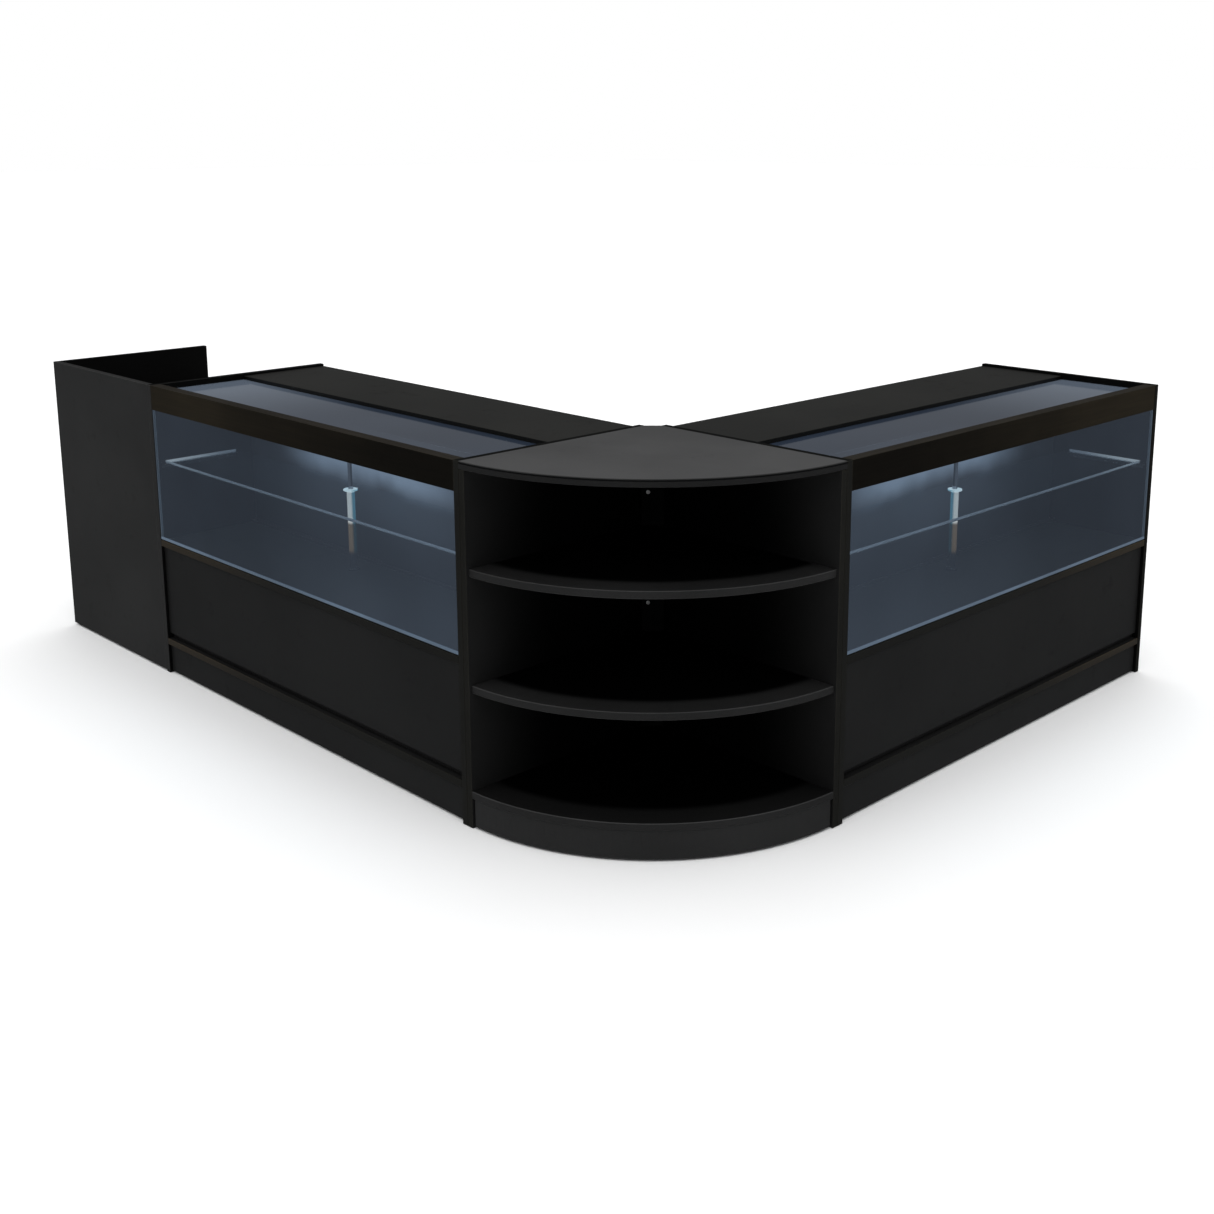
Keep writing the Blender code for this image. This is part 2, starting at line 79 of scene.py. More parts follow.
wings = {side: Wing(side) for side in SIDES}
corner_centre = (wings["left"].start.x, wings["right"].start.y, 0.0)
corner_radius = wings["right"].start.x - wings["left"].start.x


# ---------------------------------------------------------------- node trees

class Shading:
    """A material with one Principled shader, and short ways to wire procedural nodes to it."""

    def __init__(self, name, roughness=0.5, metallic=0.0, specular=0.5):
        self.material = bpy.data.materials.new(name)
        self.material.use_nodes = True
        self.tree = self.material.node_tree
        self.tree.nodes.clear()
        self.output = self.tree.nodes.new("ShaderNodeOutputMaterial")
        self.shader = self.tree.nodes.new("ShaderNodeBsdfPrincipled")
        self.shader.inputs["Roughness"].default_value = roughness
        self.shader.inputs["Metallic"].default_value = metallic
        self.shader.inputs["Specular IOR Level"].default_value = specular
        self.join(self.shader.outputs[0], self.output.inputs["Surface"])
        coordinates = self.node("ShaderNodeTexCoord")
        self.place = coordinates.outputs["Object"]
        self.normal = coordinates.outputs["Normal"]

    def node(self, kind, **settings):
        made = self.tree.nodes.new(kind)
        for key, value in settings.items():
            setattr(made, key, value)
        return made

    def join(self, source, target):
        self.tree.links.new(source, target)

    def feed(self, socket, value):
        """Give a socket a value, or wire another socket into it."""
        if hasattr(value, "is_linked"):
            self.join(value, socket)
        elif isinstance(value, tuple) and len(value) == 3 and socket.type == "RGBA":
            socket.default_value = (*value, 1.0)
        else:
            socket.default_value = value

    def maths(self, operation, *values, clamp=False):
        made = self.node("ShaderNodeMath", operation=operation, use_clamp=clamp)
        for socket, value in zip(made.inputs, values):
            self.feed(socket, value)
        return made.outputs[0]

    def product(self, *values):
        total = values[0]
        for value in values[1:]:
            total = self.maths("MULTIPLY", total, value)
        return total

    def opposite(self, value):
        """1 where a mask is 0, and 0 where it is 1."""
        return self.maths("SUBTRACT", 1.0, value)

    def ramp(self, value, low, high, to_low=0.0, to_high=1.0):
        """Smooth step of value from low to high."""
        made = self.node("ShaderNodeMapRange", interpolation_type="SMOOTHSTEP")
        for name, number in (("Value", value), ("From Min", low), ("From Max", high)):
            self.feed(made.inputs[name], number)
        made.inputs["To Min"].default_value = to_low
        made.inputs["To Max"].default_value = to_high
        return made.outputs["Result"]

    def noise(self, scale, detail, stretch=(1.0, 1.0, 1.0), roughness=0.5):
        mapping = self.node("ShaderNodeMapping")
        mapping.inputs["Scale"].default_value = stretch
        self.join(self.place, mapping.inputs["Vector"])
        made = self.node("ShaderNodeTexNoise")
        self.join(mapping.outputs[0], made.inputs["Vector"])
        made.inputs["Scale"].default_value = scale
        made.inputs["Detail"].default_value = detail
        made.inputs["Roughness"].default_value = roughness
        return made.outputs["Fac"]

    def uneven(self, lowest, highest, scale, detail, stretch=(1.0, 1.0, 1.0)):
        """A noise spread between two values."""
        return self.ramp(self.noise(scale, detail, stretch), 0.3, 0.7, lowest, highest)

    def mix(self, factor, first, second, blend="MIX"):
        made = self.node("ShaderNodeMix", data_type="RGBA", blend_type=blend)
        self.feed(made.inputs[0], factor)
        self.feed(made.inputs[6], first)
        self.feed(made.inputs[7], second)
        return made.outputs[2]

    def toned(self, colour, tone):
        """A colour made darker or lighter by a factor."""
        return self.mix(1.0, colour, tone, "MULTIPLY")

    def axis_part(self, vector, axis):
        split = self.node("ShaderNodeSeparateXYZ")
        self.join(vector, split.inputs[0])
        return split.outputs[axis]

    def height(self):
        return self.axis_part(self.place, 2)

    def towards(self, direction):
        """How far the surface looks along a direction: 1 straight at it, -1 straight away."""
        made = self.node("ShaderNodeVectorMath", operation="DOT_PRODUCT")
        self.join(self.normal, made.inputs[0])
        made.inputs[1].default_value = tuple(direction)
        return made.outputs["Value"]

    def outward(self, direction):
        """As towards, but always for the side that looks out of the solid, also when seen from inside."""
        inside = self.node("ShaderNodeNewGeometry").outputs["Backfacing"]
        sign = self.maths("MULTIPLY_ADD", inside, -2.0, 1.0)
        return self.maths("MULTIPLY", self.towards(direction), sign)

    def facing(self, axis):
        """1 where the surface looks along the axis, either way, and 0 elsewhere."""
        part = self.maths("ABSOLUTE", self.axis_part(self.normal, axis))
        return self.ramp(part, 0.80, 0.95)

    def distance(self, wing, direction, place=None):
        """Distance from a wing's starting corner, along the wing or back from its front."""
        axis = axis_of(direction)
        sign = direction[axis]
        part = self.axis_part(self.place if place is None else place, axis)
        return self.maths("MULTIPLY_ADD", part, sign, -sign * wing.start[axis])

    def corner_distance(self):
        """Level distance from the centre of the corner unit's curve."""
        flat = self.node("ShaderNodeVectorMath", operation="MULTIPLY")
        self.join(self.place, flat.inputs[0])
        flat.inputs[1].default_value = (1.0, 1.0, 0.0)
        made = self.node("ShaderNodeVectorMath", operation="DISTANCE")
        self.join(flat.outputs[0], made.inputs[0])
        made.inputs[1].default_value = corner_centre
        return made.outputs["Value"]

    def arris(self, curved):
        """1 on the eased arrises between faces, 0 on the faces."""
        parts = [self.maths("ABSOLUTE", self.axis_part(self.normal, axis)) for axis in range(3)]
        if curved:
            off_diagonal = self.maths("ABSOLUTE", self.maths("SUBTRACT", parts[2], math.sqrt(0.5)))
            return self.ramp(off_diagonal, 0.08, 0.22, 1.0, 0.0)
        largest = self.maths("MAXIMUM", self.maths("MAXIMUM", parts[0], parts[1]), parts[2])
        return self.ramp(largest, 0.80, 0.95, 1.0, 0.0)

    def bump(self, height, strength=0.10, distance=0.0002):
        made = self.node("ShaderNodeBump")
        made.inputs["Strength"].default_value = strength
        made.inputs["Distance"].default_value = distance
        self.join(height, made.inputs["Height"])
        self.join(made.outputs[0], self.shader.inputs["Normal"])

    def set(self, name, value):
        self.feed(self.shader.inputs[name], value)

    def glow(self, colour, strength=1.0):
        self.set("Emission Color", colour)
        self.shader.inputs["Emission Strength"].default_value = strength


# ---------------------------------------------------------------- boards

def grey(level):
    return (level, level, level)


def scaled(colour, factor):
    return tuple(factor * part for part in colour)


# Each laminate: colour of its faces, of its edge tape and of edges that look up, and its specular level
Laminate = namedtuple("Laminate", "face tape crown specular")
DARK_TAPE = (0.0036, 0.0034, 0.0018)
DARK_CROWN = (0.0010, 0.0010, 0.0008)
LAMINATES = {
    "front": Laminate((0.0158, 0.0158, 0.0157), grey(0.0130), grey(0.0140), 0.45),
    "plinth": Laminate(grey(0.0128), grey(0.0150), grey(0.0140), 0.45),
    "shelf": Laminate(grey(0.0130), grey(0.0158), grey(0.0030), 0.18),
    # The bottom shelf is the shelves' laminate with its face painted darker: painted shade under the
    # shelves above
    "bottom_shelf": Laminate(grey(0.0055), grey(0.0158), grey(0.0030), 0.18),
    "alcove": Laminate(grey(0.0105), (0.0080, 0.0078, 0.0062), grey(0.0030), 0.18),
    "body": Laminate(grey(0.0077), DARK_TAPE, DARK_CROWN, 0.42),
    "deck": Laminate(grey(0.0077), (0.0210, 0.0145, 0.0062), DARK_CROWN, 0.42),
    "inside": Laminate(grey(0.0120), DARK_TAPE, DARK_CROWN, 0.12),
    "partition": Laminate(grey(0.0120), grey(0.0210), DARK_CROWN, 0.12),
    "fascia": Laminate((0.0160, 0.0122, 0.0066), (0.0068, 0.0059, 0.0042), (0.0150, 0.0132, 0.0108), 0.10),
    "top": Laminate((0.0074, 0.0073, 0.0062), (0.0030, 0.0028, 0.0020), (0.0030, 0.0028, 0.0020), 0.40),
    "corner_top": Laminate((0.0395, 0.0395, 0.0397), grey(0.0070), (0.0395, 0.0395, 0.0397), 0.45),
}
# Where the open corner unit's boards turn dark with painted shade, as distances behind its curved front
ALCOVE_SHADE = {"shelf": (0.092, 0.060), "panel": (0.280, 0.010)}
# Height range of the seam under the corner top's edge, painted dark as painted shade in the groove, and how
# softly the seam ends
SEAM = (0.8942, 0.8978)
SEAM_BLUR = 0.0002
# Stretches along a wing over which the painted shade beside the corner fades: the fascias turn lighter and
# the decks' edges turn from dark to brown
FASCIA_FADE = (0.1, 1.5)
DECK_FADE = (0.7, 1.45)
# Tones of painted shade: on a fascia beside the corner, on a dimmed face, on a board deep in the corner
# unit, and in the seam
FASCIA_DARKEST = 0.24
DIMMED = 0.22
ALCOVE_DARKEST = 0.02
SEAM_DARKEST = 0.07
# Options that make a material fit for one board only
OWN_OPTIONS = {"dim", "darker_from", "warmer_along"}
board_materials = {}


def speckle(made, streak_axis):
    """Fine speckle of a plain laminate, or the long streaks of a grained one."""
    if streak_axis is None:
        return made.uneven(0.82, 1.18, 520.0, 2.0)
    stretch = [60.0, 60.0, 60.0]
    stretch[streak_axis] = 1.6
    return made.uneven(0.86, 1.14, 3.0, 5.0, tuple(stretch))


def alcove_shade(made, shade):
    """Painted shade: dark at the back of the open corner unit, full tone at its curved front."""
    dark, lit = (corner_radius - distance for distance in shade)
    return made.ramp(made.corner_distance(), dark, lit, ALCOVE_DARKEST, 1.0)


def seam_shade(made, seam):
    """Painted shade: dark within a range of heights."""
    below, above = (made.ramp(made.height(), edge - SEAM_BLUR, edge + SEAM_BLUR) for edge in seam)
    groove = made.maths("SUBTRACT", below, above)
    return made.maths("MULTIPLY_ADD", groove, SEAM_DARKEST - 1.0, 1.0)


def laminate(name, kind, axis, streak_axis=None, curved=False, shade=None, darker_from=None,
             warmer_along=None, dim=None, seam=None):
    """Laminated board: speckled, slightly mottled faces, smoother taped edges and eased arrises with a
    painted highlight.
    """
    face, tape, crown, specular = LAMINATES[kind]
    made = Shading(name, specular=specular)
    flat = made.facing(axis)
    upward = made.ramp(made.towards(UP), 0.80, 0.95)
    # painted shade: the fascia darker beside the corner
    if darker_from is not None:
        run = made.ramp(made.distance(darker_from, darker_from.along), *FASCIA_FADE)
        face = made.mix(run, scaled(face, FASCIA_DARKEST), face)
    # painted shade: the deck's edge darker beside the corner, brown further along
    if warmer_along is not None:
        run = made.ramp(made.distance(warmer_along, warmer_along.along), *DECK_FADE)
        tape = made.mix(run, DARK_TAPE, tape)
    board = made.mix(flat, made.mix(upward, tape, crown), face)
    mottle = made.ramp(made.noise(2.6, 4.0), 0.32, 0.68, 0.86, 1.13)
    # painted highlight: the eased arrises are made lighter
    arris_highlight = made.maths("MULTIPLY_ADD", made.arris(curved), 1.1, 1.0)
    tones = [mottle, speckle(made, streak_axis), arris_highlight]
    # painted shade deep in the open corner unit
    if shade is not None:
        tones.append(alcove_shade(made, shade))
    # painted shade on the faces that look along dim, the inner faces of end panels
    if dim is not None:
        tones.append(made.ramp(made.towards(dim), 0.5, 0.8, 1.0, DIMMED))
    if seam is not None:
        tones.append(seam_shade(made, seam))
    made.set("Base Color", made.toned(board, made.product(*tones)))
    scuffs = made.ramp(made.noise(14.0, 6.0, roughness=0.7), 0.55, 0.75, 0.0, 0.08)
    face_roughness = made.maths("MULTIPLY", flat, 0.55)
    edge_roughness = made.product(made.maths("MULTIPLY_ADD", upward, 0.50, 0.44), made.opposite(flat))
    roughness = made.maths("ADD", face_roughness, edge_roughness)
    made.set("Roughness", made.maths("ADD", roughness, scuffs, clamp=True))
    made.bump(made.noise(1400.0, 2.0))
    return made.material


def board_material(kind, node, streaked=False, **options):
    """The laminate of a kind, for a board whose thinnest side lies along one axis."""
    low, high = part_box(node)
    size = [high[axis] - low[axis] for axis in range(3)]
    axis = size.index(min(size))
    streak = size.index(max(size)) if streaked else None
    own = [node] if OWN_OPTIONS & set(options) else []
    name = "_".join([kind, "laminate", "xyz"[axis], *sorted(options), *own])
    if name not in board_materials:
        board_materials[name] = laminate(name, kind, axis, streak, **options)
    return board_materials[name]


def dress(node, material):
    """Give a CAD node its finished material."""
    for place in nodes[node].material_slots:
        place.material = material


def dress_board(node, kind, **options):
    dress(node, board_material(kind, node, **options))


def dress_wing_boards(wing):
    """Laminate on the boards of one wing."""
    side = wing.side
    for part in ("inner_end_panel", "front_plinth", "rear_plinth", "lower_front_panel", "storage_divider"):
        dress_board(f"{side}_{part}", "body")
    for part in ("base_deck", "display_deck"):
        dress_board(f"{side}_{part}", "deck", warmer_along=wing)
    for part in ("fascia", "front_rail"):
        dress_board(f"{side}_{part}", "fascia", streaked=True, darker_from=wing)
    dress_board(f"{side}_rear_top", "top")
    dress_board(f"{side}_rear_rail", "inside")
    # the outer end panel's inner face gets painted shade
    dress_board(f"{side}_outer_end_panel", "partition" if side == "left" else "inside", dim=-wing.along)


def dress_corner_boards():
    """Laminate on the boards of the open corner unit."""
    for side in SIDES:
        dress_board(f"corner_{side}_side_panel", "alcove", shade=ALCOVE_SHADE["panel"])
    for part, kind in (("upper", "shelf"), ("lower", "shelf"), ("bottom", "bottom_shelf")):
        dress_board(f"corner_{part}_shelf", kind, curved=True, shade=ALCOVE_SHADE["shelf"])
    # the back post, deep in the open corner unit, is painted near black: painted shade
    dress("corner_back_post", plastic("back_post_painted_shade", grey(0.0004), 0.95))
    dress_board("corner_plinth", "plinth", curved=True)
    dress_board("corner_top", "corner_top", curved=True, seam=SEAM)


def dress_till_boards():
    """Laminate on the boards of the till unit."""
    dress_board("till_front_panel", "front")
    # the till end panel's inner face gets painted shade
    dress_board("till_end_panel", "inside", dim=(1.0, 0.0, 0.0))
    for part in ("register_deck", "shelf", "base_deck", "rear_plinth"):
        dress_board(f"till_{part}", "body")


# ---------------------------------------------------------------- glass and fittings

GLASS_TINT = (0.90, 0.94, 0.96)
# Painted veil of light on the front panes, a glow, and its tone along the wing and up the pane: from where,
# to where, tone at each
PAINTED_VEIL = (0.130, 0.168, 0.232)
VEIL_ALONG = (0.0, 1.05, 1.12, 0.60)
VEIL_UPWARD = (0.60, 0.76, 0.97, 1.10)
# Haze of the glass tops beside the corner and at their outer ends, a painted reflection, and the stretch
# between the two
NEAR_HAZE = (0.021, 0.030, 0.048)
FAR_HAZE = (0.105, 0.130, 0.170)
HAZE_STRETCH = (0.70, 1.55)
# The light strip's painted pool of light on the doors, a glow: its colour, its middle along the wing, the
# distances from there over which it fades, and the heights over which it rises to full strength
DOOR_WASH = (0.148, 0.192, 0.255)
POOL_MIDDLE = 0.82
POOL_FADE = (0.20, 0.52)
POOL_RISE = (0.625, 0.705)
# Where the post's stretches change, as distances under the shelf between which one turns into the next; the
# stretches carry painted light and shade
POST_ROD = (0.0002, -0.0002)
POST_PAD = (0.0085, 0.0065)
POST_BRIGHT = (0.103, 0.092)
POST_FOOT = (0.190, 0.172)


def clear_pane(made, solid, least, mirror, power):
    """Make a material see-through. Its surface shows least head-on, and fully where solid is 1."""
    clear = made.node("ShaderNodeBsdfTransparent")
    clear.inputs[0].default_value = (*GLASS_TINT, 1.0)
    layer = made.node("ShaderNodeLayerWeight")
    layer.inputs["Blend"].default_value = 0.5
    grazing = made.maths("POWER", layer.outputs["Facing"], power)
    shine = made.maths("MULTIPLY_ADD", grazing, mirror, least, clamp=True)
    outside = made.opposite(made.node("ShaderNodeNewGeometry").outputs["Backfacing"])
    shine = made.maths("MULTIPLY", shine, outside)
    blend = made.node("ShaderNodeMixShader")
    made.join(made.maths("MAXIMUM", shine, solid), blend.inputs[0])
    made.join(clear.outputs[0], blend.inputs[1])
    made.join(made.shader.outputs[0], blend.inputs[2])
    made.join(blend.outputs[0], made.output.inputs["Surface"])


def front_pane(wing):
    """Upright front pane: clear, with a faint bluish painted veil of light that glows, and dim cut edges.
    """
    made = Shading(f"{wing.side}_front_pane_glass", 0.05)
    cloud = made.uneven(0.90, 1.10, 2.2, 3.0)
    outward = made.ramp(made.distance(wing, wing.along), *VEIL_ALONG)
    upward = made.ramp(made.height(), *VEIL_UPWARD)
    flat = made.facing(axis_of(wing.back))
    made.set("Base Color", made.mix(flat, (0.10, 0.13, 0.16), (0.004, 0.005, 0.006)))
    # painted light: the veil glows, fading along the wing and down the pane
    painted_veil = made.toned(PAINTED_VEIL, made.product(cloud, outward, upward))
    made.glow(made.mix(flat, BLACK, painted_veil))
    clear_pane(made, made.opposite(flat), least=0.21, mirror=1.0, power=5.0)
    return made.material


def shelf_pane(wing):
    """Glass shelf: its front and outer edges carry a painted highlight, lighter in colour and glowing."""
    made = Shading(f"{wing.side}_shelf_pane_glass", 0.05)
    low, high = wing.span("glass_shelf")
    flat = made.facing(2)
    front = made.ramp(made.outward(-wing.back), 0.3, 0.6)
    outer = made.ramp(made.outward(wing.along), 0.3, 0.6)
    bright = made.maths("MAXIMUM", front, outer)
    # painted highlight: the front and outer edges lighter than the rest
    edge = made.mix(bright, (0.03, 0.04, 0.05), (0.10, 0.12, 0.14))
    made.set("Base Color", made.mix(flat, edge, (0.02, 0.03, 0.04)))
    core = made.ramp(made.height(), low.z + 0.001, low.z + 0.004)
    end = made.ramp(made.distance(wing, wing.along), 1.10, high.x)
    # painted highlight: glowing lines along the front and outer edges
    front_line = made.toned(made.mix(end, (0.034, 0.041, 0.056), (0.110, 0.130, 0.150)), core)
    fading = made.ramp(made.distance(wing, wing.back), low.y, high.y)
    side_line = made.mix(fading, (0.40, 0.43, 0.46), (0.10, 0.12, 0.15))
    painted_gleam = made.mix(outer, made.mix(front, BLACK, front_line), side_line)
    made.glow(made.mix(flat, painted_gleam, BLACK))
    clear_pane(made, made.product(made.opposite(flat), bright), least=0.02, mirror=0.5, power=5.0)
    return made.material


def top_pane(wing):
    """Glass of the top: clear from above, reflecting at low angles, with a painted reflection as haze that
    is strongest at its outer end.
    """
    made = Shading(f"{wing.side}_top_pane_glass", 0.09)
    flat = made.facing(2)
    outward = made.ramp(made.distance(wing, wing.along), *HAZE_STRETCH)
    # painted reflection: haze lighter towards the outer end
    haze = made.mix(outward, NEAR_HAZE, FAR_HAZE)
    haze = made.toned(haze, made.uneven(0.92, 1.08, 2.0, 3.0))
    made.set("Base Color", made.mix(flat, (0.012, 0.015, 0.018), haze))
    clear_pane(made, made.opposite(flat), least=0.06, mirror=1.75, power=3.0)
    return made.material


def plastic(name, colour, roughness):
    """Moulded plastic with a fine satin grain."""
    made = Shading(name)
    made.set("Base Color", made.mix(made.noise(9.0, 2.0), scaled(colour, 0.86), colour))
    made.set("Roughness", made.uneven(roughness - 0.05, roughness + 0.07, 260.0, 2.0))
    made.bump(made.noise(900.0, 2.0))
    return made.material


def satin_metal(name, colour, roughness):
    """Metal with a fine uneven polish."""
    made = Shading(name, metallic=1.0)
    grain = made.noise(6.0, 3.0)
    made.set("Base Color", made.mix(grain, scaled(colour, 0.90), colour))
    made.set("Roughness", made.ramp(grain, 0.3, 0.7, roughness * 0.8, roughness * 1.25))
    return made.material


def post_metal(wing):
    """Polished post under the shelf: painted bright at the pad, painted shade to a dark foot, a glowing
    painted sheen; a black rod above.
    """
    made = Shading(f"{wing.side}_post_metal", 0.22, metallic=0.9)
    shelf_low, _ = wing.span("glass_shelf")
    rod, pad, lit, foot = (
        made.ramp(made.height(), *(shelf_low.z - distance for distance in stretch))
        for stretch in (POST_ROD, POST_PAD, POST_BRIGHT, POST_FOOT)
    )
    side = made.ramp(made.towards((wing.along - wing.back).normalized()), -0.55, -0.25)
    brushed = made.uneven(0.86, 1.10, 5.0, 3.0, (90.0, 90.0, 3.0))
    # painted light and shade in the colour: bright at the pad, brown below, dark at the foot
    shaded_steel = made.mix(foot, (0.02, 0.024, 0.030), (0.16, 0.120, 0.085))
    steel = made.mix(lit, shaded_steel, (0.60, 0.62, 0.64))
    made.set("Base Color", made.toned(made.mix(rod, steel, (0.020, 0.022, 0.026)), brushed))
    # painted sheen: glows, white on one side and cyan on the other, with a painted highlight on the rod
    column_sheen = made.mix(side, (0.040, 0.160, 0.220), (0.50, 0.48, 0.45))
    pad_sheen = made.mix(side, (0.24, 0.46, 0.54), (0.66, 0.74, 0.76))
    brown_sheen = made.mix(side, (0.004, 0.020, 0.026), (0.085, 0.060, 0.036))
    rod_sheen = made.mix(side, BLACK, (0.030, 0.036, 0.046))
    shaded_sheen = made.mix(foot, (0.003, 0.004, 0.005), brown_sheen)
    sheen = made.mix(lit, shaded_sheen, made.mix(pad, column_sheen, pad_sheen))
    made.glow(made.mix(rod, sheen, rod_sheen))
    return made.material


def door_panel(wing):
    """Smooth black door panel, with a painted pool of light from the strip above, a glow that stays in
    place as the door slides.
    """
    made = Shading(f"{wing.side}_door_panel", 0.30, specular=0.45)
    made.set("Base Color", made.toned((0.010, 0.011, 0.013), made.uneven(0.88, 1.12, 3.0, 3.0)))
    where = made.node("ShaderNodeNewGeometry").outputs["Position"]
    off_middle = made.maths("SUBTRACT", made.distance(wing, wing.along, where), POOL_MIDDLE)
    pool = made.ramp(made.maths("ABSOLUTE", off_middle), *POOL_FADE, 1.0, 0.0)
    height = made.maths("ADD", made.axis_part(where, 2), made.uneven(-0.012, 0.012, 6.0, 2.0))
    fall = made.maths("POWER", made.ramp(height, *POOL_RISE), 1.2)
    front = made.ramp(made.towards(-wing.back), 0.5, 0.8)
    # painted light: the strip's pool glows on the door's front
    made.glow(made.mix(made.product(fall, pool, front), BLACK, DOOR_WASH))
    made.bump(made.noise(700.0, 2.0), strength=0.05)
    return made.material


def light_strip():
    """Black channel with a glowing diffuser below."""
    made = Shading("light_strip_diffuser", 0.40)
    down = made.ramp(made.towards(-UP), 0.4, 0.7)
    dots = made.uneven(0.88, 1.05, 90.0, 1.0)
    made.set("Base Color", made.mix(down, (0.020, 0.020, 0.021), (0.80, 0.86, 0.95)))
    made.glow(made.mix(made.product(down, dots), BLACK, (0.70, 0.85, 1.0)), 0.7)
    return made.material


def bead_material(name, colour, painted_gleam):
    """Clear glazing bead, with a painted glow along its length for light carried in it."""
    made = Shading(name, 0.18)
    streak = made.uneven(0.85, 1.12, 5.0, 2.0)
    made.set("Base Color", made.toned(colour, streak))
    made.glow(made.toned(painted_gleam, streak))
    return made.material


def dress_fittings():
    """Glass, metal and plastic."""
    track = plastic("track_plastic", (0.011, 0.011, 0.012), 0.42)
    rest = satin_metal("shelf_rest_metal", (0.40, 0.41, 0.43), 0.30)
    strip = light_strip()
    for side, wing in wings.items():
        dress(f"{side}_front_glass", front_pane(wing))
        dress(f"{side}_top_glass", top_pane(wing))
        dress(f"{side}_glass_shelf", shelf_pane(wing))
        dress(f"{side}_shelf_post", post_metal(wing))
        dress(f"{side}_light_strip", strip)
        for end in ("inner", "outer"):
            dress(f"{side}_shelf_rest_{end}", rest)
        for level in ("top", "bottom"):
            dress(f"{side}_door_track_{level}", track)
        door = door_panel(wing)
        for place in ("front", "rear"):
            dress(f"{side}_{place}_sliding_door", door)


# ---------------------------------------------------------------- small pieces

# Gap between a small piece and the board or pane beside it
CLEARANCE = 0.0001
# Heights of the screws in the corner unit's back post
SCREW_HEIGHTS = {"upper": 0.733, "lower": 0.437}


def piece_from(builder, name, material, body):
    """Finish a bmesh as a smooth-shaded piece that rides on a body."""
    bmesh.ops.recalc_face_normals(builder, faces=builder.faces)
    mesh = bpy.data.meshes.new(name)
    builder.to_mesh(mesh)
    builder.free()
    mesh.shade_smooth()
    mesh.set_sharp_from_angle(angle=math.radians(35.0))
    mesh.materials.append(material)
    made = bpy.data.objects.new(name, mesh)
    bpy.context.scene.collection.objects.link(made)
    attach(made, body)


def add_turned(builder, profile, at, outward, segments):
    """Add a turned shape to a bmesh: (radius, height) pairs spun about the outward direction at a point."""
    before = set(builder.verts)
    points = [builder.verts.new((radius, 0.0, height)) for radius, height in profile]
    edges = [builder.edges.new(pair) for pair in zip(points, points[1:])]
    turn = {"cent": (0, 0, 0), "axis": UP, "angle": math.tau, "steps": segments}
    bmesh.ops.spin(builder, geom=points + edges, use_merge=True, **turn)
    spun = [vertex for vertex in builder.verts if vertex not in before]
    bmesh.ops.remove_doubles(builder, verts=spun, dist=0.00001)
    kept = [vertex for vertex in builder.verts if vertex not in before]
    tilt = UP.rotation_difference(Vector(outward)).to_matrix().to_4x4()
    bmesh.ops.transform(builder, matrix=Matrix.Translation(at) @ tilt, verts=kept)


def turned(profile, at, outward, segments):
    """A bmesh with one turned shape."""
    builder = bmesh.new()
    add_turned(builder, profile, at, outward, segments)
    return builder


def bar(outline, start, end, across, rise):
    """A bmesh of a bar between two points. Its outline gives offsets in the across and rise directions."""
    builder = bmesh.new()
    near, far = ([builder.verts.new(at + a * across + b * rise) for a, b in outline] for at in (start, end))
    builder.faces.new(near)
    builder.faces.new(list(reversed(far)))
    for index in range(len(outline)):
        after = (index + 1) % len(outline)
        builder.faces.new((near[index], near[after], far[after], far[index]))
    return builder


def rounded_section(width, height, radius, steps=4):
    """Section of a glazing bead: square at its back, rounded at its front. Points are (out, up)."""
    points = [(0.0, 0.0)]
    for middle, start in (((width - radius, radius), -90.0), ((width - radius, height - radius), 0.0)):
        for step in range(steps + 1):
            angle = math.radians(start + 90.0 * step / steps)
            points.append((middle[0] + radius * math.cos(angle), middle[1] + radius * math.sin(angle)))
    return points + [(0.0, height)]


def glazing_beads():
    """Clear bead along the foot and the outer side of each front pane, over a thin black gasket."""
    # the beads' second colours are painted glows
    foot = bead_material("foot_bead", (0.030, 0.040, 0.050), (0.066, 0.094, 0.134))
    upright = bead_material("side_bead", (0.020, 0.027, 0.035), (0.030, 0.041, 0.056))
    rubber = plastic("gasket_rubber", grey(0.006), 0.60)
    gasket_height, foot_height, side_width = 0.0022, 0.0080, 0.0055
    foot_section = rounded_section(0.0024, foot_height, 0.0011)
    gasket_section = rounded_section(0.0016, gasket_height - CLEARANCE, 0.0006)
    side_section = rounded_section(0.0024, side_width, 0.0011)
    for side, wing in wings.items():
        low, high = wing.span("front_glass")
        face = low.y - CLEARANCE
        inner, outer = low.x + CLEARANCE, high.x - CLEARANCE
        bead_base = low.z + gasket_height
        side_base = bead_base + foot_height + CLEARANCE
        ends = [wing.point(s, face, bead_base) for s in (inner, outer)]
        bead = bar(foot_section, *ends, -wing.back, UP)
        piece_from(bead, f"{side}_foot_bead", foot, FIXED)
        ends = [wing.point(s, face, low.z) for s in (inner, outer)]
        gasket = bar(gasket_section, *ends, -wing.back, UP)
        piece_from(gasket, f"{side}_foot_gasket", rubber, FIXED)
        ends = [wing.point(outer, face, z) for z in (side_base, high.z - CLEARANCE)]
        bead = bar(side_section, *ends, -wing.back, -wing.along)
        piece_from(bead, f"{side}_side_bead", upright, FIXED)


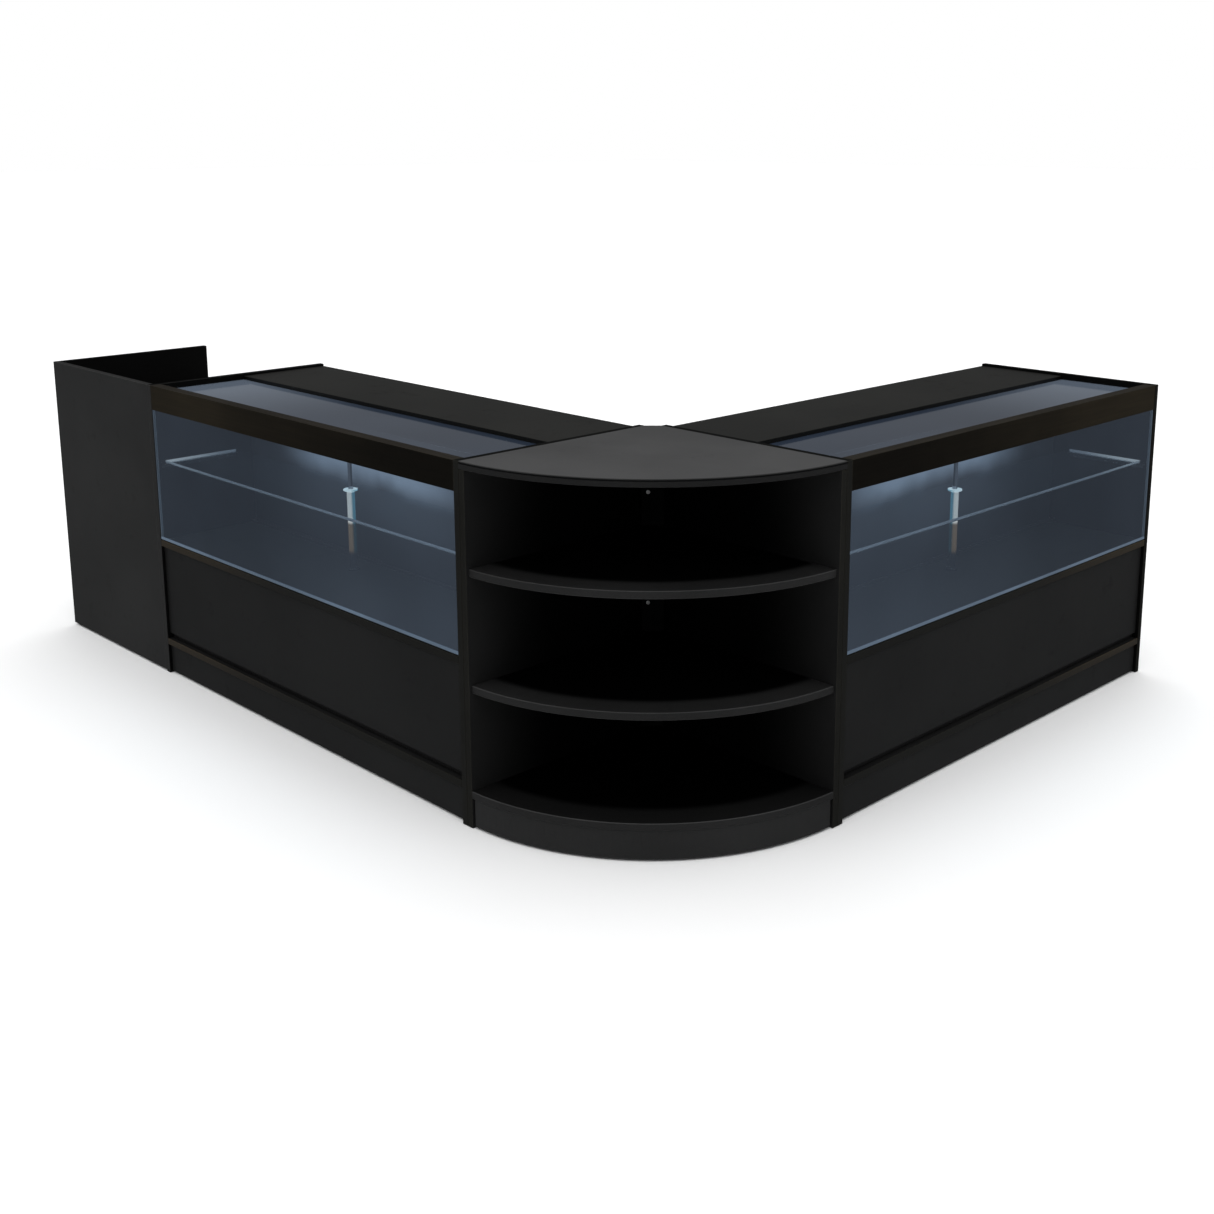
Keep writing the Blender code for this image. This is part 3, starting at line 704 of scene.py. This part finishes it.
def strip_caps():
    """Moulded end caps of the light strips."""
    cap = plastic("strip_cap_plastic", (0.050, 0.050, 0.052), 0.40)
    length, lap, proud = 0.010, 0.003, 0.0007
    for side, wing in wings.items():
        low, high = wing.span("light_strip")
        width, height = high.y - low.y, high.z - low.z
        section = [(-proud, -proud), (width + proud, -proud), (width + proud, height), (-proud, height)]
        for end, s, way in (("inner", low.x, 1.0), ("outer", high.x, -1.0)):
            ends = [wing.point(s + way * offset, low.y, low.z) for offset in (lap, -length)]
            builder = bar(section, *ends, wing.back, UP)
            bmesh.ops.bevel(builder, geom=builder.edges[:], offset=0.0006, segments=2, affect="EDGES")
            piece_from(builder, f"{side}_strip_cap_{end}", cap, FIXED)


def rest_screws():
    """Pan-head screws that hold the shelf rests to the end panels."""
    steel = satin_metal("screw_steel", (0.55, 0.55, 0.56), 0.28)
    head = [(0.0, 0.0008), (0.0009, 0.0008), (0.0013, 0.0019), (0.0022, 0.0018), (0.0032, 0.0012),
            (0.0036, 0.0)]
    leg_thickness, rise = 0.002, 0.006
    for side, wing in wings.items():
        builder = bmesh.new()
        for end, way in (("inner", 1.0), ("outer", -1.0)):
            low, high = wing.span(f"shelf_rest_{end}")
            s = low.x + leg_thickness if end == "inner" else high.x - leg_thickness
            for share in (0.12, 0.5, 0.88):
                d = low.y + share * (high.y - low.y)
                add_turned(builder, head, wing.point(s, d, low.z + rise), way * wing.along, 20)
        piece_from(builder, f"{side}_shelf_rest_screws", steel, FIXED)


def door_pulls():
    """Round finger-pull cups, set into the rear faces of the sliding doors."""
    cup = plastic("pull_cup_plastic", (0.030, 0.030, 0.031), 0.32)
    rim, hole, bottom = 0.0262, 0.0212, -0.0022
    profile = [(0.0, bottom), (hole - 0.0020, bottom), (hole, -0.0012), (hole + 0.0006, 0.0006),
               (hole + 0.0016, 0.0009), (rim - 0.0012, 0.0007), (rim, 0.0001)]
    from_end, height = 0.070, 0.630
    for side, wing in wings.items():
        for place in ("front", "rear"):
            low, high = wing.span(f"{place}_sliding_door")
            s = low.x + from_end if place == "front" else high.x - from_end
            pull = turned(profile, wing.point(s, high.y, height), wing.back, 48)
            piece_from(pull, f"{side}_{place}_door_pull", cup, f"{side}_{place}_door")


def screw_caps():
    """Two small caps over the screws in the corner unit's back post."""
    cap = plastic("screw_cap_plastic", grey(0.62), 0.30)
    low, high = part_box("corner_back_post")
    facing = Vector((1.0, -1.0, 0.0)).normalized()
    sideways = Vector((-1.0, -1.0, 0.0)).normalized()
    middle = Vector((high.x + low.x, high.y + low.y, 0.0)) / 2.0
    off_middle = 0.012
    profile = [(0.0, 0.0022), (0.0028, 0.0020), (0.0046, 0.0012), (0.0055, 0.0)]
    for level, height in SCREW_HEIGHTS.items():
        builder = turned(profile, middle + off_middle * sideways + height * UP, facing, 24)
        piece_from(builder, f"corner_screw_cap_{level}", cap, FIXED)


# ---------------------------------------------------------------- stage

def floor():
    """Pale floor, just below the counter's foot. It isn't mirrored by the counter."""
    builder = bmesh.new()
    bmesh.ops.create_grid(builder, x_segments=1, y_segments=1, size=60.0)
    mesh = bpy.data.meshes.new("floor")
    builder.to_mesh(mesh)
    builder.free()
    made = bpy.data.objects.new("floor", mesh)
    made.location.z = -0.001
    bpy.context.scene.collection.objects.link(made)
    paint = Shading("floor_paint", 0.9, specular=0.1)
    paint.set("Base Color", grey(0.86))
    mesh.materials.append(paint.material)
    made.visible_glossy = False


def sky():
    """White background around a soft, even sky that is weaker where the counter mirrors it."""
    world = bpy.data.worlds.new("studio")
    bpy.context.scene.world = world
    world.use_nodes = True
    tree = world.node_tree
    tree.nodes.clear()
    seen = tree.nodes.new("ShaderNodeBackground")
    seen.inputs[0].default_value = (1.0, 1.0, 1.0, 1.0)
    soft = tree.nodes.new("ShaderNodeBackground")
    soft.inputs[0].default_value = (0.96, 0.98, 1.0, 1.0)
    path = tree.nodes.new("ShaderNodeLightPath")
    dimming = tree.nodes.new("ShaderNodeMath")
    dimming.operation = "MULTIPLY_ADD"
    tree.links.new(path.outputs["Is Glossy Ray"], dimming.inputs[0])
    dimming.inputs[1].default_value = MIRRORED_SKY - SOFT_SKY
    dimming.inputs[2].default_value = SOFT_SKY
    tree.links.new(dimming.outputs[0], soft.inputs[1])
    blend = tree.nodes.new("ShaderNodeMixShader")
    output = tree.nodes.new("ShaderNodeOutputWorld")
    tree.links.new(path.outputs["Is Camera Ray"], blend.inputs[0])
    tree.links.new(soft.outputs[0], blend.inputs[1])
    tree.links.new(seen.outputs[0], blend.inputs[2])
    tree.links.new(blend.outputs[0], output.inputs["Surface"])


def add_sun(name, towards, spread, strength):
    """A very soft distant light from one direction. Its disc itself isn't mirrored by the counter."""
    data = bpy.data.lights.new(name, "SUN")
    data.angle = math.radians(spread)
    data.energy = strength
    made = bpy.data.objects.new(name, data)
    made.rotation_euler = (-Vector(towards)).to_track_quat("-Z", "Y").to_euler()
    made.visible_glossy = False
    bpy.context.scene.collection.objects.link(made)


def lights():
    """A strong soft light overhead, and weak ones from both fronts and both backs."""
    add_sun("overhead", (0.10, -0.10, 1.0), 100.0, 3.0)
    add_sun("front_left", (-0.35, -1.0, 0.7), 60.0, 0.25)
    add_sun("front_right", (1.0, 0.35, 0.7), 60.0, 0.25)
    add_sun("back_left", (-1.0, 0.25, 0.6), 60.0, 0.45)
    add_sun("back_right", (-0.25, 1.0, 0.6), 60.0, 0.45)


def add_camera():
    """Camera in front of the corner unit, at standing eye level and tilted down by about 12 degrees."""
    data = bpy.data.cameras.new("camera")
    camera = bpy.data.objects.new("camera", data)
    bpy.context.scene.collection.objects.link(camera)
    camera.location = (3.432, -3.107, 1.633)
    camera.rotation_euler = (math.radians(90.0 - 11.98), 0.0, math.radians(45.0))
    data.sensor_width = 36.0
    data.lens = 44.32
    data.shift_x = -0.0377
    data.shift_y = -0.1293
    bpy.context.scene.camera = camera
    bpy.context.scene.view_settings.view_transform = "Standard"


for wing in wings.values():
    dress_wing_boards(wing)
dress_corner_boards()
dress_till_boards()
dress_fittings()
glazing_beads()
strip_caps()
rest_screws()
door_pulls()
screw_caps()
floor()
sky()
lights()
add_camera()
